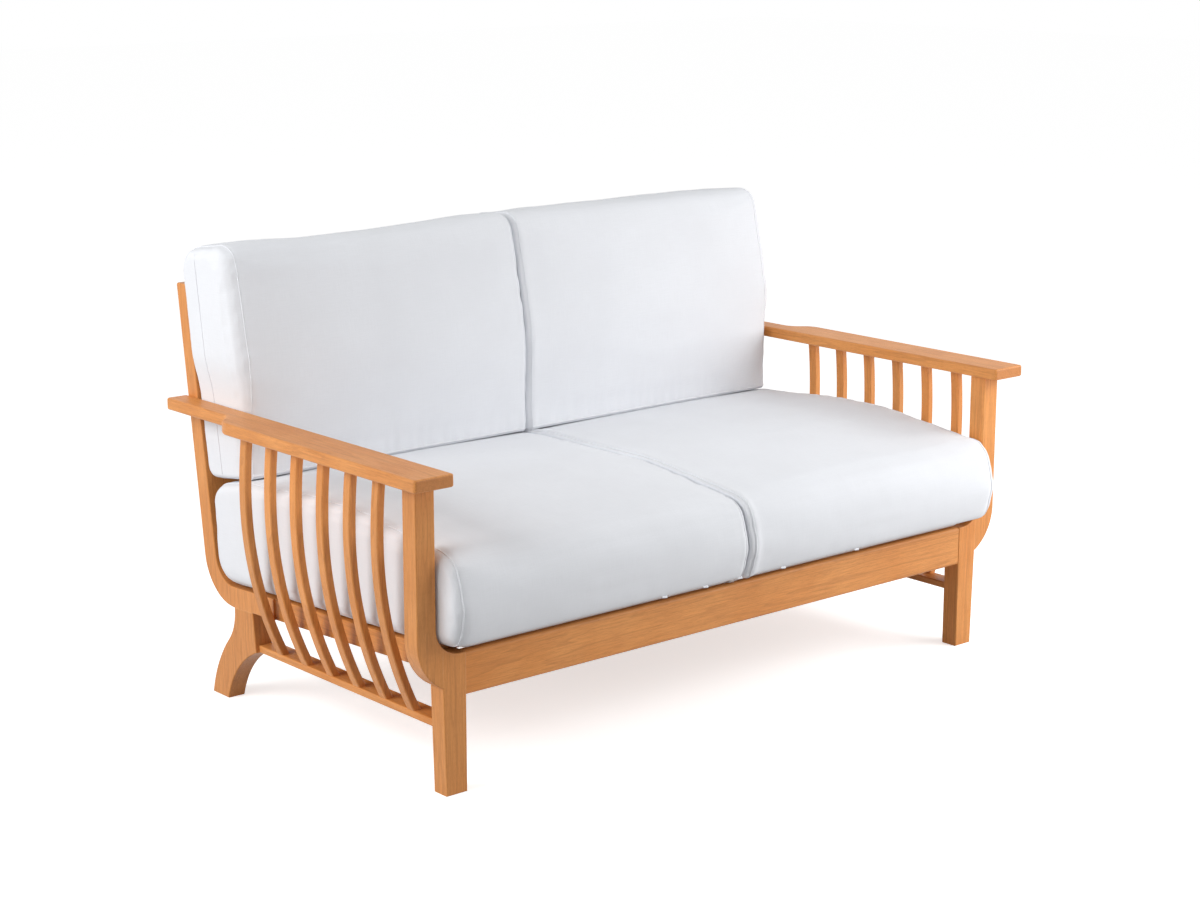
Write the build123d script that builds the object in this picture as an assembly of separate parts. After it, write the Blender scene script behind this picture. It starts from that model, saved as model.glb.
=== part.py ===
from build123d import *
import os
from math import cos, radians, sin, sqrt, tan

# Patio loveseat: a solid teak frame with curved arm slats and four loose cushions.
# Millimetres. X runs along the seat, Y from the front legs to the back, Z up from the floor.
# The pieces are drawn with Y zero on the front of the legs, and moved to the middle at the end.

# Frame as a whole
half_outer = 730.0  # middle of the seat to the outer face of the legs and rear posts
arm_top = 620.0
arm_thick = 24.5
leg_height = 270.0  # top of the front legs and of the front rail
joint_depth = 14.0  # how far a tenon goes into its mortise
tenon_inset = 6.0  # wood left around a tenon
edge_round = 2.5  # eased edges of the timber
overrun = 5.0  # how far a cutting block passes the face it cuts

# Front leg and the post that rises from it
leg_wide = 53.0
leg_deep = 40.0
foot_taper = 5.5  # the foot is this much narrower, on its outer side
post_reach = 57.0  # the post's outer face stands this far outside the leg
post_wide = 43.0
knee_foot = 209.0  # height at which the post's outer curve meets the leg
knee_rise = 94.0  # height of that curve
crook_radius = 54.0  # hollow between the post and the top of the leg

# Front rail
front_rail_tall = 84.0
front_rail_thick = 25.0
front_rail_setback = 1.5
front_rail_round = 6.0

# Pitched seat deck
deck_rise = 14.0  # from the front rail up to the seat slats, carried forward to the legs
seat_pitch = 2.8  # degrees, lower at the back
seat_slat_thick = 18.0
seat_slat_wide = 84.0
seat_slat_count = 7
seat_slat_start = 44.0
seat_slat_end = 742.0
seat_slat_play = 1.0
side_rail_tall = 44.0
side_rail_thick = 36.0
side_rail_drop = 4.0  # side rails lie this much under the tops of the seat slats
cleat_wide = 22.0
cleat_tall = 24.0
bearer_wide = 32.0
bearer_tall = 46.0

# Rear post, whose foot sweeps forward into the side rail, and the rear leg under it
rear_thick = 40.0
post_top = 849.0
back_lean = 8.3  # degrees, front face of the rear posts
post_rear_lean = 7.5  # degrees, rear face of the rear posts
post_front_at_arm = 819.0  # Y of the post's front face at the height of the arm's top
post_deep_at_arm = 37.5
sweep_radius = 105.0  # outer bend of the post's foot
hollow_radius = 60.0  # inner bend of the post's foot
post_foot_end = 560.0  # Y where the foot meets the side rail
neck_front_top = 638.0
neck_front_low = 629.0
neck_back = 706.0
bracket_height = 123.0  # underside of the arch's root, under the side stretcher
leg_waist_y = 732.0
leg_waist_z = 129.0
leg_waist_angle = 43.0  # degrees from upright, slope of the rear edge at the waist
rear_foot_front = 740.0
rear_foot_back = 799.0
arch_mid_y = 701.0
arch_mid_z = 71.0
rear_rail_front = 648.0
rear_rail_thick = 24.0
rear_rail_drop = 38.0  # from the top of the front legs down to the rear rail
rear_rail_tall = 54.0

# Side stretcher that carries the feet of the arm slats
stretcher_wide = 42.5
stretcher_thick = 15.0
stretcher_top = 138.0
stretcher_setback = 8.5  # from the outer face of the legs

# Arm slats
slat_count = 6
slat_first = 104.0
slat_pitch = 88.0
slat_wide = 22.0
slat_thick = 16.0
slat_chamfer = 1.8  # taken off the long edges
slat_bow_z = 470.0  # height at which the slats stand furthest out
slat_bow_reach = 67.0  # outside the legs, at the bow and at the armrest
slat_top_reach = 59.5
slat_tenon_thick = 9.0
slat_tenon_wide = 14.0
slat_dowel_radius = 4.0
slat_dowel_below = 10.0
slat_dowel_above = 12.0

# Armrest
arm_front = -42.0
arm_back = 862.0
arm_wide = 88.0
arm_narrow = 48.0
arm_flare_start = 573.0
arm_flare_end = 650.0
arm_corner_radius = 6.0
arm_edge_round = 4.0
arm_bolt_radius = 4.0
arm_bolt_length = 62.0
arm_bolt_head_radius = 7.0
arm_bolt_head_thick = 5.0

# Back
back_rail_thick = 24.0
low_rail_rise = 142.0  # from the top of the front legs up to the low rail's front edge
low_rail_tall = 60.0
top_rail_tall = 72.0
top_rail_drop = 4.0
top_rail_round = 7.0
back_slat_count = 11
back_slat_wide = 46.0
back_slat_thick = 13.0

# Screws through the seat slats
screw_radius = 2.3
screw_length = 36.0
screw_head_radius = 4.8
screw_head_tall = 3.2

# Cushions
cushion_gap = 0.4  # running clearance under, behind and beside a loose cushion
seat_end_gap = 5.0  # between a seat cushion and the front post
seat_toe = -42.0  # distances down the deck, and heights over it, along a seat cushion's outline
seat_toe_height = 7.0
seat_nose = -62.0
seat_nose_height = 76.0
seat_sole = 60.0  # the underside lies flat from here back
seat_brow = -42.0
seat_brow_height = 165.0
seat_lap = 250.0
seat_lap_height = 212.0
seat_crest = 600.0
seat_crest_height = 226.0
seat_rear = 760.0
seat_rear_height = 203.0
back_end_gap = 2.0  # between a back cushion and the armrest
back_cushion_rise = 4.4  # its lower rear edge over the rear edge of the seat cushion
back_cushion_tall = 479.0
back_toe = 150.0  # thickness forward of the frame, from the bottom up
back_belly = 186.0
back_belly_height = 210.0
back_brow = 170.0
back_crest = 2.0
seat_crown = 8.0  # extra rise of the middle over the ends
back_crown = 12.0
outer_round = 31.0  # length over which a cushion draws in towards its outer end
inner_round = 22.0  # and towards the other cushion, which it leans on
seat_draw_low = 26.0  # how far each side of an outline would draw in at a closed end
seat_draw_high = 14.0
seat_draw_nose = 19.0
seat_draw_rear = 11.0
back_draw_low = 8.0
back_draw_high = 22.0
back_draw_front = 28.0
back_draw_behind = 10.0
seat_radii = (20.0, 50.0, 50.0, 400.0, 400.0, 40.0, 44.0, 60.0)
back_radii = (20.0, 34.0, 400.0, 44.0, 30.0)
inner_draw_share = 0.6  # of those draws, and of the underside's, at the inner end
inner_lift_share = 0.3
end_angle_share = (0.9, 0.72, 0.48, 0.24, 0.0)  # of a right angle, from the end face inwards
crown_share = ((0.3, 0.8), (0.5, 1.0), (0.7, 0.8))  # of the length, and of the crown's rise

# Worked out from the sizes above
arm_bottom = arm_top - arm_thick
leg_in = half_outer - leg_wide
post_out = half_outer + post_reach
post_in = post_out - post_wide
crook_x = post_in - crook_radius
slat_bow_x = half_outer + slat_bow_reach
slat_top_x = half_outer + slat_top_reach
seat_half_wide = post_in - seat_end_gap
back_half_wide = half_outer - back_end_gap
deck_height = leg_height + deck_rise
crook_top = leg_height + crook_radius
rear_rail_top = leg_height - rear_rail_drop
low_rail_start = leg_height + low_rail_rise
rear_in = half_outer - rear_thick
stretcher_out = half_outer - stretcher_setback
stretcher_in = stretcher_out - stretcher_wide
pitch_slope = tan(radians(seat_pitch))
lean_slope = tan(radians(back_lean))
rear_slope = tan(radians(post_rear_lean))
rail_under = side_rail_drop + side_rail_tall  # deck top to the underside of the side rails
deck_plane = Plane(
    origin=(0, 0, deck_height),
    x_dir=(1, 0, 0),
    z_dir=(0, sin(radians(seat_pitch)), cos(radians(seat_pitch))),
)


def deck_z(y, below=0.0):
    """Height of the line that lies this far under the pitched deck."""
    return deck_height - y * pitch_slope - below / cos(radians(seat_pitch))


def post_front_y(z):
    """Front face of the leaning rear posts, which is the plane that the back lies on."""
    return post_front_at_arm + (z - arm_top) * lean_slope


def post_rear_y(z):
    return post_front_at_arm + post_deep_at_arm + (z - arm_top) * rear_slope


def back_plane(z):
    """Leaning plane of the back: X across, Y up the slope, Z forward; its origin is at height z."""
    lean = radians(back_lean)
    return Plane(origin=(0, post_front_y(z), z), x_dir=(1, 0, 0), z_dir=(0, -cos(lean), sin(lean)))


def block(x, y, z):
    """Box between pairs of limits."""
    middle = Pos((x[0] + x[1]) / 2, (y[0] + y[1]) / 2, (z[0] + z[1]) / 2)
    return middle * Box(x[1] - x[0], y[1] - y[0], z[1] - z[0])


def front_board(outline, deep):
    """Board cut to an outline drawn in X and Z, from the front of the legs back."""
    return extrude(Plane.XZ * make_face(outline), amount=-deep)


def side_board(outline, x_in, x_out):
    """Board cut to an outline drawn in Y and Z."""
    return extrude(Plane.YZ.offset(x_in) * make_face(outline), amount=x_out - x_in)


def face_edges(solid, axis):
    """Edges around the first and last faces along an axis, which are the flat sides of a board."""
    faces = solid.faces().filter_by(axis).sort_by(axis)
    return faces[0].edges() + faces[-1].edges()


def rod(radius, length):
    """Cylinder that stands on the XY plane."""
    return Cylinder(radius, length, align=(Align.CENTER, Align.CENTER, Align.MIN))


# Front legs and posts, which are one outline cut along the outer face of the leg


def knee():
    outline = Polyline(
        (crook_x, leg_height),
        (leg_in, leg_height),
        (leg_in, 0),
        (half_outer - foot_taper, 0),
        (half_outer, knee_foot),
    )
    outline += TangentArc(
        (post_out, knee_foot + knee_rise), (half_outer, knee_foot), tangent=(0, -1)
    )
    outline += Polyline(
        (post_out, knee_foot + knee_rise),
        (post_out, arm_bottom),
        (post_in, arm_bottom),
        (post_in, crook_top),
    )
    outline += TangentArc((post_in, crook_top), (crook_x, leg_height), tangent=(0, -1))
    board = front_board(outline, leg_deep)
    arrises = face_edges(board, Axis.Y).filter_by(lambda edge: edge.center().Z < arm_bottom - overrun)
    return fillet(arrises, edge_round)


def front_rail_tenon():
    y = front_rail_setback + tenon_inset
    return block(
        (leg_in, leg_in + joint_depth),
        (y, y + front_rail_thick - 2 * tenon_inset),
        (leg_height - front_rail_tall + tenon_inset, leg_height - 2 * tenon_inset),
    )


def stretcher_tenon(y_from, y_to):
    return block(
        (stretcher_in + tenon_inset, stretcher_out - tenon_inset),
        (y_from, y_to),
        (stretcher_top - stretcher_thick + tenon_inset / 2, stretcher_top - tenon_inset / 2),
    )


def side_rail_tenon(y_from, y_to):
    outline = Polyline(
        (y_from, deck_z(y_from, side_rail_drop + 2 * tenon_inset)),
        (y_to, deck_z(y_to, side_rail_drop + 2 * tenon_inset)),
        (y_to, deck_z(y_to, rail_under - tenon_inset)),
        (y_from, deck_z(y_from, rail_under - tenon_inset)),
        close=True,
    )
    return side_board(outline, rear_in + 2 * tenon_inset, half_outer - 2 * tenon_inset)


def post_tenon():
    return block(
        (post_in + 2 * tenon_inset, post_out - 2 * tenon_inset),
        (2 * tenon_inset, leg_deep - 2 * tenon_inset),
        (arm_bottom, arm_bottom + joint_depth),
    )


def front_leg():
    inner_half = block((0, half_outer), (-overrun, leg_deep + overrun), (-overrun, arm_top))
    leg = knee() & inner_half
    leg -= front_rail_tenon()
    leg -= stretcher_tenon(leg_deep - joint_depth, leg_deep)
    return leg - side_rail_tenon(leg_deep - joint_depth, leg_deep)


def front_post():
    inner_half = block((0, half_outer), (-overrun, leg_deep + overrun), (-overrun, arm_top))
    return knee() - inner_half + post_tenon()


# Rear posts and legs, also one outline, cut along the underside of the post's foot


def rear_leg_outline():
    slope = radians(leg_waist_angle)
    neck_top = deck_z(neck_back, rail_under)
    inside_foot = rail_under - tenon_inset
    outline = Polyline(
        (neck_back, neck_top),
        (neck_back, deck_z(neck_back, inside_foot)),
        (neck_front_top, deck_z(neck_front_top, inside_foot)),
        (neck_front_top, deck_z(neck_front_top, rail_under)),
        (neck_front_low, bracket_height),
    )
    outline += ThreePointArc(
        (neck_front_low, bracket_height), (arch_mid_y, arch_mid_z), (rear_foot_front, 0)
    )
    outline += Line((rear_foot_front, 0), (rear_foot_back, 0))
    outline += TangentArc(
        (leg_waist_y, leg_waist_z), (rear_foot_back, 0), tangent=(sin(slope), -cos(slope))
    )
    outline += TangentArc(
        (leg_waist_y, leg_waist_z), (neck_back, neck_top), tangent=(-sin(slope), cos(slope))
    )
    return outline


def rear_post_outline():
    """Front and rear lines of the post run down to the top and bottom lines of the side rail."""
    low = deck_height - rail_under / cos(radians(seat_pitch))
    high = deck_height - side_rail_drop / cos(radians(seat_pitch))
    rear_start = post_rear_y(0)
    front_start = post_front_y(0)
    rear_corner = (low * rear_slope + rear_start) / (1 + pitch_slope * rear_slope)
    front_corner = (high * lean_slope + front_start) / (1 + pitch_slope * lean_slope)
    return FilletPolyline(
        (post_foot_end, deck_z(post_foot_end, rail_under)),
        (rear_corner, deck_z(rear_corner, rail_under)),
        (post_rear_y(post_top), post_top),
        (post_front_y(post_top), post_top),
        (front_corner, deck_z(front_corner, side_rail_drop)),
        (post_foot_end, deck_z(post_foot_end, side_rail_drop)),
        close=True,
        radius=[0, sweep_radius, 2 * edge_round, 2 * edge_round, hollow_radius, 0],
    )


def rear_side():
    """Post, foot and leg as one eased board."""
    face = make_face(rear_post_outline()) + make_face(rear_leg_outline())
    board = extrude(Plane.YZ.offset(rear_in) * face, amount=rear_thick)
    arrises = face_edges(board, Axis.X).filter_by(lambda edge: edge.center().Y > post_foot_end + overrun)
    return fillet(arrises, edge_round)


def under_foot():
    """Space under the post's foot and the side rail."""
    outline = Polyline(
        (0, deck_z(0, rail_under)),
        (rear_foot_back + overrun, deck_z(rear_foot_back + overrun, rail_under)),
        (rear_foot_back + overrun, -overrun),
        (0, -overrun),
        close=True,
    )
    return side_board(outline, rear_in - overrun, half_outer + overrun)


def rear_leg_tenon():
    top = deck_z(neck_back, rail_under)
    return block(
        (rear_in + 2 * tenon_inset, half_outer - 2 * tenon_inset),
        (neck_front_top + 2 * tenon_inset, neck_back - 2 * tenon_inset),
        (top - overrun, top + joint_depth),
    )


def rear_leg():
    leg = rear_side() & under_foot()
    leg -= stretcher_tenon(neck_front_low, neck_front_low + joint_depth)
    return leg + rear_leg_tenon()


def back_rail_tenon(start, tall):
    board = block(
        (rear_in, rear_in + joint_depth),
        (tenon_inset, tall - tenon_inset),
        (tenon_inset - back_rail_thick, -tenon_inset),
    )
    return back_plane(start) * board


def arm_bolt():
    """Bolt from the inside of the rear post into the edge of the arm, with a recessed head."""
    z = arm_top - arm_thick / 2
    y = (post_front_y(z) + post_rear_y(z)) / 2
    bolt = rod(arm_bolt_radius, arm_bolt_length) + rod(arm_bolt_head_radius, arm_bolt_head_thick)
    return Pos(rear_in, y, z) * Rot(0, 90, 0) * bolt


def rear_post():
    post = rear_side() - under_foot() - rear_leg_tenon()
    post -= side_rail_tenon(post_foot_end, post_foot_end + joint_depth)
    post -= back_rail_tenon(low_rail_start, low_rail_tall)
    post -= back_rail_tenon(top_rail_start(), top_rail_tall)
    return post - arm_bolt()


# Rails, stretchers and the seat deck


def eased_block(x, y, z, axis, radius):
    """Box whose long edges, along the axis, are rounded."""
    board = block(x, y, z)
    return fillet(board.edges().filter_by(axis), radius)


def front_rail():
    rail = eased_block(
        (-leg_in, leg_in),
        (front_rail_setback, front_rail_setback + front_rail_thick),
        (leg_height - front_rail_tall, leg_height),
        Axis.X,
        front_rail_round,
    )
    tenon = front_rail_tenon()
    return rail + tenon + mirror(tenon, about=Plane.YZ)


def rear_rail():
    """Rail between the rear feet, notched at its upper corners for the two seat cleats."""
    rail = eased_block(
        (-rear_in, rear_in),
        (rear_rail_front, rear_rail_front + rear_rail_thick),
        (rear_rail_top - rear_rail_tall, rear_rail_top),
        Axis.X,
        edge_round,
    )
    start = rear_rail_front - overrun
    end = rear_rail_front + rear_rail_thick + overrun
    cleat_under = seat_slat_thick + cleat_tall
    outline = Polyline(
        (start, deck_z(start, cleat_under)),
        (end, deck_z(end, cleat_under)),
        (end, leg_height),
        (start, leg_height),
        close=True,
    )
    notch = side_board(outline, rear_in - cleat_wide, rear_in + overrun)
    return rail - notch - mirror(notch, about=Plane.YZ)


def pitched_board(y, below, x):
    """Board under the deck between two Y limits, two depths below it and two X limits."""
    outline = Polyline(
        (y[0], deck_z(y[0], below[0])),
        (y[1], deck_z(y[1], below[0])),
        (y[1], deck_z(y[1], below[1])),
        (y[0], deck_z(y[0], below[1])),
        close=True,
    )
    board = side_board(outline, x[0], x[1])
    long_edges = board.edges().filter_by(lambda edge: edge.length > y[1] - y[0] - overrun)
    return fillet(long_edges, edge_round)


def side_rail():
    rail = pitched_board(
        (leg_deep, post_foot_end),
        (side_rail_drop, rail_under),
        (rear_in, rear_in + side_rail_thick),
    )
    rail += side_rail_tenon(leg_deep - joint_depth, leg_deep)
    return rail + side_rail_tenon(post_foot_end, post_foot_end + joint_depth)


def seat_cleat():
    """Strip on the inside of the side rail, under the ends of the seat slats."""
    cleat = pitched_board(
        (leg_deep, seat_slat_end),
        (seat_slat_thick, seat_slat_thick + cleat_tall),
        (rear_in - cleat_wide, rear_in),
    )
    return cleat - screws_at(rear_in - cleat_wide / 2)


def centre_bearer():
    bearer = pitched_board(
        (front_rail_setback + front_rail_thick, rear_rail_front),
        (seat_slat_thick, seat_slat_thick + bearer_tall),
        (-bearer_wide / 2, bearer_wide / 2),
    )
    return bearer - screws_at(0)


def seat_slat_centres():
    """Distances of the seat slats' middles down the deck."""
    start = seat_slat_start / cos(radians(seat_pitch))
    end = seat_slat_end / cos(radians(seat_pitch))
    step = (end - start - seat_slat_wide) / (seat_slat_count - 1)
    return [start + seat_slat_wide / 2 + step * i for i in range(seat_slat_count)]


def screw():
    """Countersunk screw, its head's top at zero."""
    shank = Pos(0, 0, -screw_length) * rod(screw_radius, screw_length)
    head = Cone(
        screw_radius,
        screw_head_radius,
        screw_head_tall,
        align=(Align.CENTER, Align.CENTER, Align.MAX),
    )
    return shank + head


def screws_at(x):
    """Screws of one row, one in each seat slat."""
    return Part() + [deck_plane * (Pos(x, middle, 0) * screw()) for middle in seat_slat_centres()]


def seat_slat(middle):
    half = rear_in - seat_slat_play
    board = eased_block(
        (-half, half),
        (middle - seat_slat_wide / 2, middle + seat_slat_wide / 2),
        (-seat_slat_thick, 0),
        Axis.X,
        edge_round,
    )
    for x in (-(rear_in - cleat_wide / 2), 0, rear_in - cleat_wide / 2):
        board -= Pos(x, middle, 0) * screw()
    return deck_plane * board


def side_stretcher():
    board = eased_block(
        (stretcher_in, stretcher_out),
        (leg_deep, neck_front_low),
        (stretcher_top - stretcher_thick, stretcher_top),
        Axis.Y,
        edge_round,
    )
    board += stretcher_tenon(leg_deep - joint_depth, leg_deep)
    board += stretcher_tenon(neck_front_low, neck_front_low + joint_depth)
    for i in range(slat_count):
        board -= slat_dowel(i)
    return board


# Arm slats and armrest


def slat_arc(rise, swing):
    """Radius of an arc that leaves the upright at the bow and swings in by this much."""
    return (rise * rise + swing * swing) / (2 * swing)


def slat_y(i):
    return slat_first + slat_pitch * i


def slat_curve(radius, x, z):
    """Arc from the bow, where it stands upright at this x, to another height."""
    rise = z - slat_bow_z
    end = (x - radius + sqrt(radius * radius - rise * rise), z)
    return TangentArc((x, slat_bow_z), end, tangent=(0, rise))


def arm_slat(i):
    """Bowed slat, cut to length between the stretcher and the armrest."""
    low_radius = slat_arc(slat_bow_z - stretcher_top, slat_bow_x - stretcher_out)
    high_radius = slat_arc(arm_bottom - slat_bow_z, slat_bow_x - slat_top_x)
    low = stretcher_top - overrun
    high = arm_bottom + overrun
    bow_in = slat_bow_x - slat_thick
    outer_low = slat_curve(low_radius, slat_bow_x, low)
    outer_high = slat_curve(high_radius, slat_bow_x, high)
    inner_low = slat_curve(low_radius - slat_thick, bow_in, low)
    inner_high = slat_curve(high_radius - slat_thick, bow_in, high)
    outline = outer_low + outer_high + inner_low + inner_high
    outline += Line(outer_low @ 1, inner_low @ 1)
    outline += Line(outer_high @ 1, inner_high @ 1)
    slat = front_board(outline, slat_wide)
    slat = chamfer(face_edges(slat, Axis.Y).filter_by(GeomType.CIRCLE), slat_chamfer)
    slat &= block((0, slat_bow_x + overrun), (-overrun, slat_wide + overrun), (stretcher_top, arm_bottom))
    return Pos(0, slat_y(i), 0) * slat + slat_tenon(i) - slat_dowel(i)


def slat_tenon(i):
    x = slat_top_x - slat_thick / 2
    y = slat_y(i) + slat_wide / 2
    return block(
        (x - slat_tenon_thick / 2, x + slat_tenon_thick / 2),
        (y - slat_tenon_wide / 2, y + slat_tenon_wide / 2),
        (arm_bottom, arm_bottom + joint_depth),
    )


def slat_dowel(i):
    """Pin between the foot of an arm slat and the stretcher."""
    x = stretcher_out - slat_thick / 2
    foot = Pos(x, slat_y(i) + slat_wide / 2, stretcher_top - slat_dowel_below)
    return foot * rod(slat_dowel_radius, slat_dowel_below + slat_dowel_above)


def armrest():
    outer = half_outer + arm_wide
    narrow = half_outer + arm_narrow
    flare = ((outer + narrow) / 2, (arm_flare_start + arm_flare_end) / 2)
    outline = Polyline(
        (outer, arm_flare_start), (outer, arm_front), (half_outer, arm_front), (half_outer, arm_back)
    )
    outline += Polyline((half_outer, arm_back), (narrow, arm_back), (narrow, arm_flare_end))
    outline += TangentArc((outer, arm_flare_start), flare, tangent=(0, 1))
    outline += TangentArc((narrow, arm_flare_end), flare, tangent=(0, -1))
    arm = extrude(Plane.XY.offset(arm_bottom) * make_face(outline), amount=arm_thick)
    corners = arm.edges().filter_by(Axis.Z).filter_by(lambda edge: is_end(edge.center().Y))
    arm = fillet(corners, arm_corner_radius)
    arm = fillet(face_edges(arm, Axis.Z), arm_edge_round)
    arm -= post_tenon()
    for i in range(slat_count):
        arm -= slat_tenon(i)
    return arm - arm_bolt()


def is_end(y):
    """Whether a place along the arm is one of its ends."""
    return y < arm_front + overrun or y > arm_back - overrun


# Back


def top_rail_start():
    """Height on the front of the back where the top rail begins."""
    return post_top - top_rail_drop - top_rail_tall * cos(radians(back_lean))


def back_rail(start, tall, radius):
    board = eased_block((-rear_in, rear_in), (0, tall), (-back_rail_thick, 0), Axis.X, radius)
    rail = back_plane(start) * board
    tenon = back_rail_tenon(start, tall)
    rail += tenon + mirror(tenon, about=Plane.YZ)
    for i in range(back_slat_count):
        rail -= back_slat_blank(i)
    return rail


def back_slat_blank(i):
    """Back slat with its ends in both rails."""
    pitch = 2 * rear_in / (back_slat_count + 1)
    x = pitch * (i + 1) - rear_in
    slope = cos(radians(back_lean))
    low = low_rail_tall - joint_depth
    high = (top_rail_start() - low_rail_start) / slope + joint_depth
    middle = -back_rail_thick / 2
    board = eased_block(
        (x - back_slat_wide / 2, x + back_slat_wide / 2),
        (low, high),
        (middle - back_slat_thick / 2, middle + back_slat_thick / 2),
        Axis.Y,
        edge_round,
    )
    return back_plane(low_rail_start) * board


# Cushions. A profile is a closed outline across the seat's depth, and a cushion is lofted
# through profiles from end to end, each drawn in towards the end by an elliptical rule.


def seat_profile(draw, lift, crown):
    """Seat cushion's outline in deck depth and height; draw is 0 inside and 1 past the end."""
    low = lift * seat_draw_low
    high = draw * seat_draw_high
    nose = draw * seat_draw_nose
    rear = seat_rear - draw * seat_draw_rear
    return FilletPolyline(
        (seat_toe + nose, seat_toe_height + low),
        (seat_nose + nose, seat_nose_height),
        (seat_brow + nose, seat_brow_height - high),
        (seat_lap, seat_lap_height + crown - high),
        (seat_crest, seat_crest_height + crown / 2 - high),
        (rear, seat_rear_height - high),
        (rear, low),
        (seat_sole, low),
        close=True,
        radius=seat_radii,
    )


def back_profile(draw, lift, crown):
    """Back cushion's outline in height up the slope and thickness forward of the frame."""
    low = lift * back_draw_low
    high = back_cushion_tall - draw * back_draw_high
    front = draw * back_draw_front
    behind = draw * back_draw_behind
    return FilletPolyline(
        (low, behind),
        (low, back_toe - front),
        (back_belly_height, back_belly + crown - front),
        (high, back_brow - front),
        (high, back_crest + behind),
        close=True,
        radius=back_radii,
    )


def cushion(profile, half_wide, crown):
    """Loft from the middle of the seat to one end, standing clear of what it rests on."""
    length = half_wide - cushion_gap
    angles = [radians(90) * share for share in end_angle_share]
    first = sin(angles[0])
    sections = []
    for a in angles:
        draw = 1 - cos(a)
        x = inner_round * (first - sin(a))
        sections.append((x, draw * inner_draw_share, draw * inner_lift_share, 0))
    for share, rise_share in crown_share:
        sections.append((length * share, 0, 0, crown * rise_share))
    for a in reversed(angles):
        draw = 1 - cos(a)
        sections.append((length - outer_round * (first - sin(a)), draw, draw, 0))
    faces = [
        Plane.YZ.offset(cushion_gap + x) * make_face(profile(draw, lift, rise))
        for x, draw, lift, rise in sections
    ]
    return Pos(0, 0, cushion_gap) * loft(faces, ruled=True)


def seat_cushion():
    return deck_plane * cushion(seat_profile, seat_half_wide, seat_crown)


def back_cushion():
    start = deck_z(seat_rear) + seat_rear_height + back_cushion_rise
    return back_plane(start) * cushion(back_profile, back_half_wide, back_crown)


# Every piece by its name. What stands on one side is drawn on the right and mirrored.


def both_sides(name, solid):
    return {f"{name}_right": solid, f"{name}_left": mirror(solid, about=Plane.YZ)}


def all_pieces():
    made = {}
    made |= both_sides("front_leg", front_leg())
    made |= both_sides("front_post", front_post())
    made |= both_sides("rear_post", rear_post())
    made |= both_sides("rear_leg", rear_leg())
    made |= both_sides("side_rail", side_rail())
    made |= both_sides("side_stretcher", side_stretcher())
    made |= both_sides("armrest", armrest())
    for i in range(slat_count):
        made |= both_sides(f"arm_slat_{i + 1}", arm_slat(i))
    made["front_rail"] = front_rail()
    made["rear_rail"] = rear_rail()
    made["centre_bearer"] = centre_bearer()
    made |= both_sides("seat_cleat", seat_cleat())
    for i, middle in enumerate(seat_slat_centres()):
        made[f"seat_slat_{i + 1}"] = seat_slat(middle)
    made["back_rail_low"] = back_rail(low_rail_start, low_rail_tall, edge_round)
    made["back_rail_top"] = back_rail(top_rail_start(), top_rail_tall, top_rail_round)
    for i in range(back_slat_count):
        made[f"back_slat_{i + 1}"] = back_slat_blank(i)
    made |= both_sides("seat_cushion", seat_cushion())
    made |= both_sides("back_cushion", back_cushion())
    dowels = Part() + [slat_dowel(i) for i in range(slat_count)]
    made["slat_dowels"] = dowels + mirror(dowels, about=Plane.YZ)
    made["arm_bolts"] = arm_bolt() + mirror(arm_bolt(), about=Plane.YZ)
    row = rear_in - cleat_wide / 2
    made["seat_slat_screws"] = screws_at(-row) + screws_at(0) + screws_at(row)
    return made


pieces = all_pieces()
boxes = [solid.bounding_box() for solid in pieces.values()]
middle_y = (min(box.min.Y for box in boxes) + max(box.max.Y for box in boxes)) / 2
os.makedirs("parts", exist_ok=True)
for name, solid in pieces.items():
    export_step(Pos(0, -middle_y, 0) * solid, f"parts/{name}.step")
print("pieces", len(pieces), "middle", round(middle_y, 3))
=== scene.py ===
import math

import bpy
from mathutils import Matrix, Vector, noise
from mathutils.bvhtree import BVHTree


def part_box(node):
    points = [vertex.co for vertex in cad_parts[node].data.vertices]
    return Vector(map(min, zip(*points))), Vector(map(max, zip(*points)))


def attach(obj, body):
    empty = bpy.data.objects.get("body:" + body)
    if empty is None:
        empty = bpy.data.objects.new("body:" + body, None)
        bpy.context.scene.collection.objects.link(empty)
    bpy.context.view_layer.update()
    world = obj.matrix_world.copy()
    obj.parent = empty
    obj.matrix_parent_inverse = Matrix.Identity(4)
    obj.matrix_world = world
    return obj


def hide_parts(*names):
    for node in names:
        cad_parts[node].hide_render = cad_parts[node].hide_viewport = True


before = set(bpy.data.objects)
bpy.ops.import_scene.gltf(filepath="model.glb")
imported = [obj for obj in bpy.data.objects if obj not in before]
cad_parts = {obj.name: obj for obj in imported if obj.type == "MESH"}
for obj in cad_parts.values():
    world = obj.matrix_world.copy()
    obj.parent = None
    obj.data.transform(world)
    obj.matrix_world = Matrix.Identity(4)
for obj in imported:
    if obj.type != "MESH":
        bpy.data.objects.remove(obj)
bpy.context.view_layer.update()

# Patio loveseat: oiled teak frame, woven white cushions. Metres, in the frame's own axes.

seat_pitch = math.radians(2.8)
back_lean = math.radians(8.3)
deck_point = Vector((0, -0.4147, 0.2840))  # front edge of the plane the seat cushions lie on
deck_up = Vector((0, math.sin(seat_pitch), math.cos(seat_pitch)))
back_point = Vector((0, 0.3801, 0.4542))  # foot of the plane the back cushions lean on
back_up = Vector((0, math.sin(back_lean), math.cos(back_lean)))
back_forward = Vector((0, -math.cos(back_lean), math.sin(back_lean)))

# Cushion covers

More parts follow.
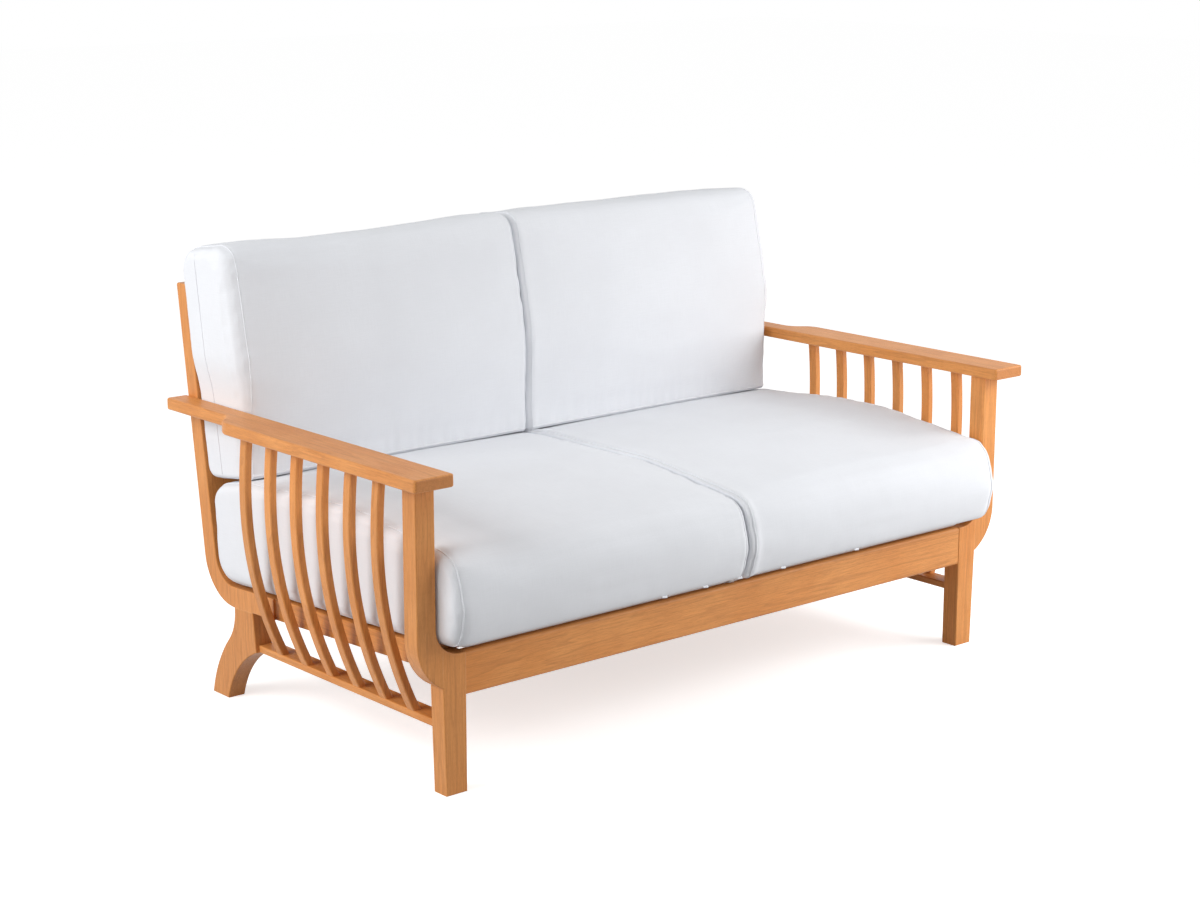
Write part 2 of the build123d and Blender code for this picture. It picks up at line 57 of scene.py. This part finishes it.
seat_mesh = 0.010  # size of the even mesh, before it is made finer
back_mesh = 0.009
rest_reach = 0.016  # how near to what it lies on a cover begins to lie flat
rest_fade = 0.010
draw_in = 0.005  # how far the firm solid is drawn in before it is blown up
regain = 0.004
most_proud = 0.003  # how far a cover may stand out of the solid, and fall short of it
most_sunk = 0.003
most_aside = 0.006
held_spare = 0.001
pinned_width = 0.006  # on either side of a seam
seam_depth = 0.0022
seam_width = 0.007
pucker_reach = 0.030
end_pucker = 0.0018
welt_pucker = 0.0034
seat_seam_insets = (0.020, 0.011)  # of the end seams, at the outer end and at the divide
back_seam_insets = (0.018, 0.010)
seat_piping = 0.0015  # radii
back_piping = 0.0011
front_welt = 0.0023
gusset_seam = 0.0010
back_thick = 0.150
lean_at_divide = 0.008
lean_width = 0.045
tie_places = (-0.223, -0.115, -0.021, 0.099, 0.312)
tie_width = 0.013
tie_rise = 0.004
tie_drop = 0.0055
tie_curl = 0.003
tie_slope = 0.12
tie_thickness = 0.0011


def pick(*objects):
    """Leaves only these objects selected, the last one active."""
    bpy.ops.object.select_all(action="DESELECT")
    for piece in objects:
        piece.select_set(True)
    bpy.context.view_layer.objects.active = objects[-1]


def apply_modifiers(piece):
    pick(piece)
    for modifier in list(piece.modifiers):
        bpy.ops.object.modifier_apply(modifier=modifier.name)


# Materials


class Nodes:
    """A material's node tree, with short calls to add and link nodes."""

    def __init__(self, name):
        self.material = bpy.data.materials.new(name)
        self.material.use_nodes = True
        self.tree = self.material.node_tree
        self.surface = self.tree.nodes["Principled BSDF"]

    def add(self, kind, inputs=None, **settings):
        node = self.tree.nodes.new(kind)
        for key, value in settings.items():
            setattr(node, key, value)
        for key, value in (inputs or {}).items():
            self.give(node.inputs[key], value)
        return node

    def give(self, socket, value):
        if isinstance(value, bpy.types.NodeSocket):
            self.tree.links.new(value, socket)
        else:
            socket.default_value = value

    def maths(self, operation, first, second=0.0):
        node = self.add("ShaderNodeMath", {0: first, 1: second}, operation=operation)
        return node.outputs[0]

    def mix(self, share, first, second):
        node = self.add("ShaderNodeMix", data_type="RGBA")
        for socket, value in ((0, share), (6, first), (7, second)):
            self.give(node.inputs[socket], value)
        return node.outputs[2]

    def ramp(self, value, *stops):
        node = self.add("ShaderNodeValToRGB", {"Fac": value})
        elements = node.color_ramp.elements
        while len(elements) < len(stops):
            elements.new(0.5)
        for element, (place, shade) in zip(elements, stops):
            element.position = place
            element.color = (shade, shade, shade, 1)
        return node.outputs[0]

    def noise(self, vector, scale, detail=3.0, roughness=0.5, distortion=0.0):
        node = self.add("ShaderNodeTexNoise", {
            "Vector": vector, "Scale": scale, "Detail": detail,
            "Roughness": roughness, "Distortion": distortion,
        })
        return node.outputs[0]

    def stretched(self, vector, scale, place=(0, 0, 0)):
        node = self.add("ShaderNodeMapping", {
            "Vector": vector, "Scale": scale, "Location": place,
        })
        return node.outputs[0]

    def bump(self, strength, distance, height):
        node = self.add("ShaderNodeBump", {
            "Strength": strength, "Distance": distance, "Height": height,
        })
        self.give(self.surface.inputs["Normal"], node.outputs[0])


def teak(name, along, board, tone):
    """Oiled teak with its grain along one axis; board shifts the figure, tone its lightness."""

    def toned(red, green, blue):
        return (red * tone, green * tone, blue * tone, 1)

    def lengthwise(share):
        way = [1.0, 1.0, 1.0]
        way["XYZ".index(along)] = share
        return tuple(way)

    light = toned(0.800, 0.345, 0.100)
    honey = toned(0.690, 0.258, 0.058)
    brown = toned(0.360, 0.120, 0.028)
    pale = toned(0.76, 0.42, 0.18)
    m = Nodes(name)
    spot = m.add("ShaderNodeTexCoord")
    shift = (board * 3.7, board * 1.9, board * 2.3)
    where = m.stretched(spot.outputs["Object"], (1, 1, 1), shift)
    fibre = m.stretched(where, lengthwise(0.045))
    figure = m.stretched(where, lengthwise(0.05))
    growth = m.noise(figure, 34.0, 2.0, 0.5, 0.4)
    rings = m.maths("FRACT", m.maths("MULTIPLY", growth, 5.0))
    late_wood = m.ramp(rings, (0.0, 0.0), (0.72, 0.25), (0.95, 1.0), (1.0, 0.0))
    streaks = m.noise(fibre, 300.0, 4.0, 0.6)
    fine = m.noise(fibre, 1100.0, 2.0, 0.6)
    open_grain = m.noise(fibre, 1700.0, 1.0, 0.5)
    pores = m.ramp(open_grain, (0.0, 1.0), (0.36, 1.0), (0.43, 0.0), (1.0, 0.0))
    patches = m.noise(where, 5.0, 3.0, 0.5)
    tint = m.mix(m.ramp(patches, (0.3, 0.0), (0.7, 1.0)), light, honey)
    tint = m.mix(m.maths("MULTIPLY", late_wood, 0.34), tint, brown)
    tint = m.mix(m.ramp(streaks, (0.35, 0.0), (0.75, 0.42)), tint, brown)
    tint = m.mix(m.ramp(fine, (0.4, 0.0), (0.8, 0.22)), tint, light)
    tint = m.mix(m.maths("MULTIPLY", pores, 0.3), tint, brown)
    # end grain takes more oil
    normal = m.add("ShaderNodeSeparateXYZ", {0: spot.outputs["Normal"]})
    facing = m.maths("ABSOLUTE", normal.outputs["XYZ".index(along)])
    end_grain = m.ramp(facing, (0.8, 0.0), (0.97, 1.0))
    tint = m.mix(m.maths("MULTIPLY", end_grain, 0.45), tint, brown)
    # handled edges are a little paler
    soft = m.add("ShaderNodeBevel", {"Radius": 0.004}, samples=4)
    hard = m.add("ShaderNodeNewGeometry")
    agree = m.add("ShaderNodeVectorMath", {
        0: soft.outputs[0], 1: hard.outputs["Normal"],
    }, operation="DOT_PRODUCT")
    edge = m.ramp(agree.outputs["Value"], (0.80, 1.0), (0.985, 0.0))
    rubbed = m.ramp(m.noise(where, 60.0, 3.0), (0.35, 0.05), (0.7, 0.5))
    tint = m.mix(m.maths("MULTIPLY", edge, rubbed), tint, pale)
    m.give(m.surface.inputs["Base Color"], tint)
    rough = m.ramp(streaks, (0.2, 0.36), (0.8, 0.50))
    m.give(m.surface.inputs["Roughness"], rough)
    m.give(m.surface.inputs["Specular IOR Level"], 0.34)
    height = m.maths("SUBTRACT", m.maths("MULTIPLY", streaks, 0.35), pores)
    m.bump(0.16, 0.0004, height)
    return m.material


def woven_fabric(name, weave_share):
    """Plain-woven white outdoor fabric with slubs, on the cushion's own UV map in metres."""
    white = (0.815, 0.832, 0.868, 1)
    shadowed = (0.752, 0.765, 0.798, 1)
    m = Nodes(name)
    spot = m.add("ShaderNodeTexCoord")
    cloth = spot.outputs["UV"]

    def threads(way):
        wave = m.add("ShaderNodeTexWave", {
            "Vector": cloth, "Scale": 150.0, "Distortion": 0.6,
            "Detail": 1.0, "Detail Scale": 3.0,
        }, bands_direction=way)
        return wave.outputs["Fac"]

    thread = m.maths("MAXIMUM", threads("X"), threads("Y"))
    slub_up = m.noise(m.stretched(cloth, (1.0, 0.05, 1.0)), 520.0, 3.0, 0.65)
    slub_across = m.noise(m.stretched(cloth, (0.05, 1.0, 1.0)), 520.0, 3.0, 0.65)
    slubs = m.maths("MULTIPLY", m.maths("ADD", slub_up, slub_across), 0.5)
    shade = m.noise(spot.outputs["Object"], 6.0, 3.0, 0.5)
    tint = m.mix(m.ramp(shade, (0.3, 0.0), (0.7, 0.5)), white, shadowed)
    tint = m.mix(m.ramp(slubs, (0.42, 0.0), (0.66, 0.55)), tint, shadowed)
    between = m.ramp(thread, (0.0, 1.0), (0.5, 0.0))
    tint = m.mix(m.maths("MULTIPLY", between, 0.25), tint, shadowed)
    m.give(m.surface.inputs["Base Color"], tint)
    m.give(m.surface.inputs["Roughness"], 0.92)
    m.give(m.surface.inputs["Specular IOR Level"], 0.15)
    m.give(m.surface.inputs["Sheen Weight"], 0.12)
    m.give(m.surface.inputs["Sheen Roughness"], 0.5)
    height = m.maths("ADD", m.maths("MULTIPLY", thread, 0.5 * weave_share), slubs)
    m.bump(0.3, 0.0006, height)
    return m.material


def stainless_steel():
    m = Nodes("stainless_steel")
    spot = m.add("ShaderNodeTexCoord")
    scratches = m.noise(m.stretched(spot.outputs["Object"], (1, 1, 0.1)), 900.0, 3.0, 0.6)
    m.give(m.surface.inputs["Base Color"], (0.55, 0.54, 0.52, 1))
    m.give(m.surface.inputs["Metallic"], 1.0)
    m.give(m.surface.inputs["Roughness"], m.ramp(scratches, (0.3, 0.28), (0.7, 0.45)))
    m.bump(0.1, 0.0002, scratches)
    return m.material


def dress(node, material):
    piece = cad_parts[node]
    piece.data.materials.clear()
    piece.data.materials.append(material)
    pick(piece)
    bpy.ops.object.shade_smooth_by_angle(angle=math.radians(32))


steel = stainless_steel()
grain_ways = {
    "front_rail": "X", "rear_rail": "X", "back_rail": "X", "seat_slat": "X", "armrest": "Y",
    "side_rail": "Y", "side_stretcher": "Y", "seat_cleat": "Y", "centre_bearer": "Y",
    "front_leg": "Z", "front_post": "Z", "rear_post": "Z", "rear_leg": "Z", "back_slat": "Z",
    "arm_slat": "Z", "slat_dowels": "Z",
}
board_tones = (1.0, 0.91, 1.06, 0.97, 1.03)
# Painted shade: the left front leg and post take the darkest board tone, darker because they
# stand farther from the front lamp
painted_shade_board = 1
painted_shade_pieces = ("front_leg_left", "front_post_left")
boards = {}
for count, node in enumerate(sorted(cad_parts)):
    if node in ("arm_bolts", "seat_slat_screws"):
        dress(node, steel)
    elif "cushion" not in node:
        way = next(way for start, way in grain_ways.items() if node.startswith(start))
        board = painted_shade_board if node in painted_shade_pieces else count % len(board_tones)
        if (way, board) not in boards:
            boards[way, board] = teak(
                f"oiled_teak_{way.lower()}_{board + 1}", way, board + 1, board_tones[board]
            )
        dress(node, boards[way, board])


# Cushions: a copy of the firm solid is drawn in, blown up as cloth between its seams, and
# held close to the solid, flat where it rests


def step(value, start, end):
    """0 up to the start, 1 from the end on, and smooth between them."""
    share = max(0.0, min(1.0, (value - start) / (end - start)))
    return share * share * (3 - 2 * share)


def above_deck(spot):
    return (spot - deck_point).dot(deck_up)


def up_the_back(spot):
    return (spot - back_point).dot(back_up)


def outer_end(name):
    """Which way a cushion's outer end looks along X, and where it is."""
    low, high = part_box(name)
    return (1, high.x) if name.endswith("right") else (-1, low.x)


def end_seams(name, outer_inset, inner_inset):
    low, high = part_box(name)
    if name.endswith("right"):
        return low.x + inner_inset, high.x - outer_inset
    return low.x + outer_inset, high.x - inner_inset


def cloth_form(name, mesh_size):
    """Evenly meshed copy of a CAD cushion."""
    pick(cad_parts[name])
    bpy.ops.object.duplicate()
    form = bpy.context.active_object
    form.name = name + "_cover"
    form.data.name = form.name
    forget_node(form)
    form.parent = None
    bpy.ops.object.mode_set(mode="EDIT")
    bpy.ops.mesh.select_all(action="SELECT")
    bpy.ops.mesh.remove_doubles(threshold=0.00005)
    bpy.ops.object.mode_set(mode="OBJECT")
    form.data.remesh_voxel_size = mesh_size
    bpy.ops.object.voxel_remesh()
    smooth = form.modifiers.new("ease", "SMOOTH")
    smooth.factor = 0.5
    smooth.iterations = 6
    apply_modifiers(form)
    return form


def forget_node(copy):
    """A copy of a CAD node drops the marks that say it is that node."""
    for key in list(copy.keys()):
        if key.startswith("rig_"):
            del copy[key]


def rest_share(form, planes):
    """1 where the cushion lies on something, falling to 0 a little way off."""
    shares = []
    for vertex in form.data.vertices:
        near = min((vertex.co - point).dot(normal) for point, normal in planes)
        shares.append(max(0.0, min(1.0, (rest_reach - near) / rest_fade)))
    return shares


def run_cloth(form):
    """Blows the cover up between its pinned seams."""
    pick(form)
    cloth = form.modifiers.new("cloth", "CLOTH")
    cloth.settings.use_pressure = True
    cloth.settings.uniform_pressure_force = 4.0
    cloth.settings.effector_weights.gravity = 0
    cloth.settings.vertex_group_mass = "seams"
    cloth.settings.tension_stiffness = 12
    cloth.settings.compression_stiffness = 12
    cloth.settings.bending_stiffness = 0.4
    cloth.settings.quality = 4
    cloth.collision_settings.use_collision = False
    cloth.point_cache.frame_start = 1
    cloth.point_cache.frame_end = 20
    for tick in range(1, 21):
        bpy.context.scene.frame_set(tick)
    apply_modifiers(form)
    bpy.context.scene.frame_set(1)


def on_seam(spot, seams):
    return min(distance for distance, place, pucker in seams(spot)) < pinned_width


def blow_up(form, seams, rests):
    """Cloth pressure between the seams; each point then stays near the firm solid's surface."""
    start = [vertex.co.copy() for vertex in form.data.vertices]
    normals = [vertex.normal.copy() for vertex in form.data.vertices]
    for i, vertex in enumerate(form.data.vertices):
        vertex.co = start[i] - normals[i] * draw_in * (1 - rests[i])
    pins = form.vertex_groups.new(name="seams")
    for i, spot in enumerate(start):
        pins.add([i], min(1.0, on_seam(spot, seams) + rests[i]), "REPLACE")
    run_cloth(form)
    for i, vertex in enumerate(form.data.vertices):
        move = vertex.co - start[i]
        out = move.dot(normals[i])
        aside = move - normals[i] * out
        if aside.length > most_aside:
            aside = aside.normalized() * most_aside
        out = max(-most_sunk, min(most_proud, out + regain))
        vertex.co = start[i] + (normals[i] * out + aside) * (1 - rests[i])
    form.vertex_groups.clear()


def finer(form):
    subdivide = form.modifiers.new("finer", "SUBSURF")
    subdivide.levels = 1
    subdivide.render_levels = 1
    apply_modifiers(form)


def beside(spot, x):
    """Distance from an end seam, the place in the puckers along it, and how deep they are."""
    return abs(spot.x - x), Vector((spot.x * 9, spot.y * 42, spot.z * 42)), end_pucker


def crease(form, seams, rests, seed):
    """Puckers beside the seams and a slow unevenness over the whole cover."""
    form.data.update()
    normals = [vertex.normal.copy() for vertex in form.data.vertices]
    for i, vertex in enumerate(form.data.vertices):
        spot = vertex.co.copy()
        depth = 0.0
        for distance, place, pucker in seams(spot):
            along = noise.noise(place + Vector((seed, 0, seed)))
            depth += pucker * math.exp(-distance / pucker_reach) * along
            depth -= seam_depth * math.exp(-((distance / seam_width) ** 2))
        depth += 0.0018 * noise.noise(spot * 7 + Vector((seed, 0, 0)))
        depth += 0.0006 * noise.noise(spot * 23 + Vector((0, seed, 0)))
        vertex.co = spot + normals[i] * depth * (1 - rests[i])


def hold_inside(form, name):
    """Keeps a cover's width within its solid's, and its depth and height within a hair of it."""
    low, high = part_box(name)
    spare = Vector((0, held_spare, held_spare))
    low, high = low - spare, high + spare
    for vertex in form.data.vertices:
        vertex.co = Vector(max(low[k], min(high[k], vertex.co[k])) for k in range(3))


def square_up(form, amount):
    """Fills the rounded rim of a cushion's inner end, where its neighbour presses on it."""
    form.data.update()
    normals = [vertex.normal.copy() for vertex in form.data.vertices]
    for vertex, normal in zip(form.data.vertices, normals):
        rim = 2 * abs(normal.x) * math.sqrt(max(0.0, 1 - normal.x * normal.x))
        near = 1 - step(abs(vertex.co.x), 0.02, 0.05)
        vertex.co += normal * amount * rim * near


def leaned(x):
    """Where a place near the divide goes: the left cushion is drawn in, the right leans on it."""
    return x - lean_at_divide * math.exp(-((x / lean_width) ** 2))


def lean_divide(form):
    for vertex in form.data.vertices:
        vertex.co.x = leaned(vertex.co.x)


def fill_outer_end(form, name, rests):
    """The outer end of a seat cushion stands full, held between the armrest's slats."""
    fill = 0.011
    end = outer_end(name)[1]
    for vertex, rest in zip(form.data.vertices, rests):
        upper = step(above_deck(vertex.co), 0.08, 0.17)
        near = 1 - step(abs(end - vertex.co.x), 0.0, 0.16)
        ahead = 1 - step(vertex.co.y, 0.0, 0.17)
        vertex.co += deck_up * fill * upper * near * ahead * (1 - rest)


def sag_on_rail(form):
    """Ahead of the first slat the underside hangs down nearly to the front rail."""
    sag = 0.0135
    for vertex in form.data.vertices:
        below = 1 - step(above_deck(vertex.co), 0.006, 0.020)
        along = step(vertex.co.y, -0.418, -0.404) * (1 - step(vertex.co.y, -0.386, -0.372))
        inside = 1 - step(abs(vertex.co.x), 0.665, 0.715)
        vertex.co.z -= sag * along * inside * below


def bulge_end(form, name):
    """Above the armrest nothing holds a back cushion in, and its end swells."""
    bulge = 0.010
    armrest_top = 0.63
    out, end = outer_end(name)
    for vertex in form.data.vertices:
        near = max(0.0, 1 - abs(end - vertex.co.x) / 0.11)
        above = step(vertex.co.z, armrest_top, armrest_top + 0.09)
        vertex.co.x += out * bulge * near * near * above


def slump_top(form):
    """The upper edge of the left back cushion is a little lower at one place along it."""
    slump = 0.012
    middle = -0.42
    for vertex in form.data.vertices:
        near = math.exp(-(((vertex.co.x - middle) / 0.30) ** 2))
        off_divide = step(abs(vertex.co.x), 0.0, 0.2)
        upper = step(up_the_back(vertex.co), 0.30, 0.47)
        vertex.co -= back_up * slump * near * off_divide * upper


def fill_corner(form, toe):
    """Draws the lower front edge out to the corner that its welt holds."""
    fill = 0.010
    reach = 0.045
    spare = 0.0004
    outward = (back_forward - back_up).normalized()
    for vertex in form.data.vertices:
        off = vertex.co - toe
        off.x = 0
        moved = vertex.co + outward * fill * step(off.length, reach, 0.0)
        below = min(0.0, up_the_back(moved) - spare)
        vertex.co = moved - back_up * below


def unwrap_cloth(form):
    """UV map at real size, laid on the six sides."""
    pick(form)
    bpy.ops.object.mode_set(mode="EDIT")
    bpy.ops.mesh.select_all(action="SELECT")
    bpy.ops.uv.cube_project(
        cube_size=1.0, correct_aspect=False, clip_to_bounds=False, scale_to_bounds=False
    )
    bpy.ops.object.mode_set(mode="OBJECT")


def finish_cover(form, name):
    unwrap_cloth(form)
    form.data.materials.clear()
    form.data.materials.append(cover_fabric)
    pick(form)
    bpy.ops.object.shade_smooth()
    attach(form, name + "_body")
    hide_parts(name)


# Piping, seams and ties


def on_surface(form, starts, way):
    """Where straight lines that set out this way from these points meet the cover."""
    proud = 0.0004
    tree = BVHTree.FromObject(form, bpy.context.evaluated_depsgraph_get())
    hits = [tree.ray_cast(start, way.normalized()) for start in starts]
    return [place + normal * proud for place, normal, face, distance in hits if place]


def drawn_curve(name, points):
    """Smooth open curve near a row of points."""
    data = bpy.data.curves.new(name, "CURVE")
    data.dimensions = "3D"
    line = data.splines.new("NURBS")
    line.points.add(len(points) - 1)
    for control, point in zip(line.points, points):
        control.co = (*point, 1)
    line.order_u = 3
    line.use_endpoint_u = True
    curve = bpy.data.objects.new(name, data)
    bpy.context.collection.objects.link(curve)
    return curve


def cut_loop(form, x):
    """Closed line where a cross plane cuts the cover, as a curve object."""
    pick(form)
    bpy.ops.object.duplicate()
    loop = bpy.context.active_object
    bpy.ops.object.mode_set(mode="EDIT")
    bpy.ops.mesh.select_all(action="SELECT")
    bpy.ops.mesh.bisect(
        plane_co=(x, 0, 0), plane_no=(1, 0, 0), use_fill=False, clear_inner=True, clear_outer=True
    )
    bpy.ops.object.mode_set(mode="OBJECT")
    pick(loop)
    bpy.ops.object.convert(target="CURVE")
    return bpy.context.active_object


def pipe(curve, cushion, trim, radius):
    """Round trim along a curve, as a closed tube."""
    curve.data.bevel_depth = radius
    curve.data.bevel_resolution = 2
    curve.data.use_fill_caps = True
    pick(curve)
    bpy.ops.object.convert(target="MESH")
    tube = bpy.context.active_object
    tube.name = f"{cushion}_{trim}"
    tube.data.name = tube.name
    tube.data.materials.clear()
    tube.data.materials.append(piping_fabric)
    bpy.ops.object.shade_smooth()
    forget_node(tube)
    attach(tube, cushion + "_body")


def pipe_ends(form, name, places, radius):
    for side, x in zip(("left", "right"), places):
        pipe(cut_loop(form, x), name, side + "_piping", radius)


def tie_tape(form, name, x, body):
    """Sewn end of a tie, which lies under the lower front edge of a seat cushion."""
    underneath = Vector((x, -0.600, 0.250))
    root = on_surface(form, [underneath], Vector((0, 0.150, 0.044)))[0]
    bpy.ops.mesh.primitive_grid_add(x_subdivisions=2, y_subdivisions=6, size=1)
    tape = bpy.context.active_object
    tape.name = name
    tape.data.name = name
    for vertex in tape.data.vertices:
        along = 0.5 - vertex.co.y
        aside = vertex.co.x * tie_width
        vertex.co = root + Vector((
            aside,
            -0.0005 - tie_curl * math.sin(along * 2.2),
            tie_rise - tie_drop * along - tie_slope * aside,
        ))
    thick = tape.modifiers.new("thick", "SOLIDIFY")
    thick.thickness = tie_thickness
    thick.offset = 0
    apply_modifiers(tape)
    tape.data.materials.append(piping_fabric)
    unwrap_cloth(tape)
    pick(tape)
    bpy.ops.object.shade_smooth_by_angle(angle=math.radians(40))
    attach(tape, body)


# The four covers


def seat_rests(form):
    """A seat cushion lies on the deck, and the back cushion lies on its rear."""
    rests = rest_share(form, [(deck_point, deck_up)])
    for i, vertex in enumerate(form.data.vertices):
        if up_the_back(vertex.co) > -0.045:
            under_back = (vertex.co.y - 0.205) / 0.05
            rests[i] = max(rests[i], min(1.0, max(0.0, under_back)))
    return rests


def seat_cover(name, seed, rim_fill):
    form = cloth_form(name, seat_mesh)
    left, right = end_seams(name, *seat_seam_insets)

    def seams(spot):
        return beside(spot, left), beside(spot, right)

    blow_up(form, seams, seat_rests(form))
    finer(form)
    rests = seat_rests(form)
    crease(form, seams, rests, seed)
    square_up(form, rim_fill)
    hold_inside(form, name)
    fill_outer_end(form, name, rests)
    sag_on_rail(form)
    lean_divide(form)
    finish_cover(form, name)
    pipe_ends(form, name, (leaned(left), leaned(right)), seat_piping)
    low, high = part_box(name)
    for count, x in enumerate(tie_places):
        if low.x < x < high.x:
            tie_tape(form, f"{name}_tie_{count + 1}", x, name + "_body")


def back_cover(name, seed, rim_fill):
    form = cloth_form(name, back_mesh)
    left, right = end_seams(name, *back_seam_insets)
    rest_planes = [(back_point, back_forward), (back_point, back_up)]
    toe = back_point + back_forward * back_thick

    def seams(spot):
        off = spot - toe
        welt = math.sqrt(max(0.0, off.length_squared - spot.x * spot.x))
        puckers = Vector((spot.x * 62, off.dot(back_up) * 10, 0))
        return beside(spot, left), beside(spot, right), (welt, puckers, welt_pucker)

    blow_up(form, seams, rest_share(form, rest_planes))
    fill_corner(form, toe)
    finer(form)
    crease(form, seams, rest_share(form, rest_planes), seed)
    square_up(form, rim_fill)
    hold_inside(form, name)
    if name.endswith("left"):
        slump_top(form)
    lean_divide(form)
    bulge_end(form, name)
    finish_cover(form, name)
    ends = (leaned(left), leaned(right))
    pipe_ends(form, name, ends, back_piping)

    ahead = toe + back_up * 0.008 + back_forward * 0.07
    span = ends[1] - ends[0]
    starts = [ahead + Vector((ends[0] + span * i / 60, 0, 0)) for i in range(61)]
    line = drawn_curve(name + "_line", on_surface(form, starts, -back_forward))
    pipe(line, name, "front_welt", front_welt)

    out, end = outer_end(name)
    beyond = back_point + back_forward * 0.060 + Vector((end + 0.06 * out, 0, 0))
    starts = [beyond + back_up * (0.012 + 0.445 * i / 40) for i in range(41)]
    line = drawn_curve(name + "_line", on_surface(form, starts, Vector((-out, 0, 0))))
    pipe(line, name, "gusset_seam", gusset_seam)


cover_fabric = woven_fabric("white_woven_fabric", 1.0)
piping_fabric = woven_fabric("white_piping_fabric", 0.4)
seat_cover("seat_cushion_right", 1.3, 0.009)
seat_cover("seat_cushion_left", 4.1, 0.003)
back_cover("back_cushion_right", 2.2, 0.006)
back_cover("back_cushion_left", 5.6, 0.004)

# Studio: pale floor, soft light and the photograph's viewpoint

floor_grey = (0.50, 0.50, 0.50, 1)
floor_seen = (0.90, 0.90, 0.90, 1)
floor_glow = 0.58
sky_light = 0.46
sky_seen = 1.0


def pale_floor():
    """Grey to the light, and nearly white to the camera and in reflections."""
    m = Nodes("pale_floor")
    rays = m.add("ShaderNodeLightPath")
    mirrored = m.maths(
        "MAXIMUM", rays.outputs["Is Glossy Ray"], rays.outputs["Is Transmission Ray"]
    )
    seen = m.maths("MAXIMUM", rays.outputs["Is Camera Ray"], mirrored)
    m.give(m.surface.inputs["Base Color"], m.mix(seen, floor_grey, floor_seen))
    m.give(m.surface.inputs["Emission Color"], (1, 1, 1, 1))
    m.give(m.surface.inputs["Emission Strength"], m.maths("MULTIPLY", seen, floor_glow))
    m.give(m.surface.inputs["Roughness"], 1.0)
    m.give(m.surface.inputs["Specular IOR Level"], 0.0)
    return m.material


bpy.ops.object.select_all(action="DESELECT")
bpy.ops.mesh.primitive_plane_add(size=40, location=(0, 0, 0))
floor = bpy.context.active_object
floor.name = "floor"
floor.data.materials.append(pale_floor())

world = bpy.data.worlds.new("studio")
bpy.context.scene.world = world
world.use_nodes = True
sky = world.node_tree
rays = sky.nodes.new("ShaderNodeLightPath")
seen = sky.nodes.new("ShaderNodeMath")
seen.operation = "MAXIMUM"
seen_more = sky.nodes.new("ShaderNodeMath")
seen_more.operation = "MAXIMUM"
strength = sky.nodes.new("ShaderNodeMix")
strength.data_type = "FLOAT"
sky.links.new(rays.outputs["Is Camera Ray"], seen.inputs[0])
sky.links.new(rays.outputs["Is Glossy Ray"], seen.inputs[1])
sky.links.new(seen.outputs[0], seen_more.inputs[0])
sky.links.new(rays.outputs["Is Transmission Ray"], seen_more.inputs[1])
sky.links.new(seen_more.outputs[0], strength.inputs[0])
strength.inputs[2].default_value = sky_light
strength.inputs[3].default_value = sky_seen
background = sky.nodes["Background"]
background.inputs["Color"].default_value = (1.0, 1.0, 1.0, 1)
sky.links.new(strength.outputs[0], background.inputs["Strength"])


def softbox(name, place, aim, size, watts):
    bpy.ops.object.light_add(type="AREA", location=place)
    lamp = bpy.context.active_object
    lamp.name = name
    lamp.data.shape = "RECTANGLE"
    lamp.data.size, lamp.data.size_y = size
    lamp.data.energy = watts
    lamp.visible_camera = False
    lamp.rotation_euler = (Vector(aim) - Vector(place)).to_track_quat("-Z", "Y").to_euler()


softbox("top_softbox", (-0.2, 0.3, 3.6), (0, 0, 0.3), (3.4, 2.6), 6)
softbox("left_softbox", (-3.7, 0.5, 2.1), (0, 0, 0.5), (2.4, 2.0), 94)
softbox("front_softbox", (2.0, -1.9, 1.35), (0.3, 0.1, 0.5), (2.0, 1.6), 57)

camera_place = (-3.2251, -3.7586, 1.6188)
camera_turn = (math.radians(77.48), 0, math.radians(-40.43))
bpy.ops.object.camera_add(location=camera_place, rotation=camera_turn)
camera = bpy.context.active_object
camera.name = "photo_view"
camera.data.sensor_width = 36
camera.data.lens = 72.21
camera.data.shift_x = 0.0069
camera.data.shift_y = -0.0179
bpy.context.scene.camera = camera

bpy.context.scene.view_settings.view_transform = "Standard"
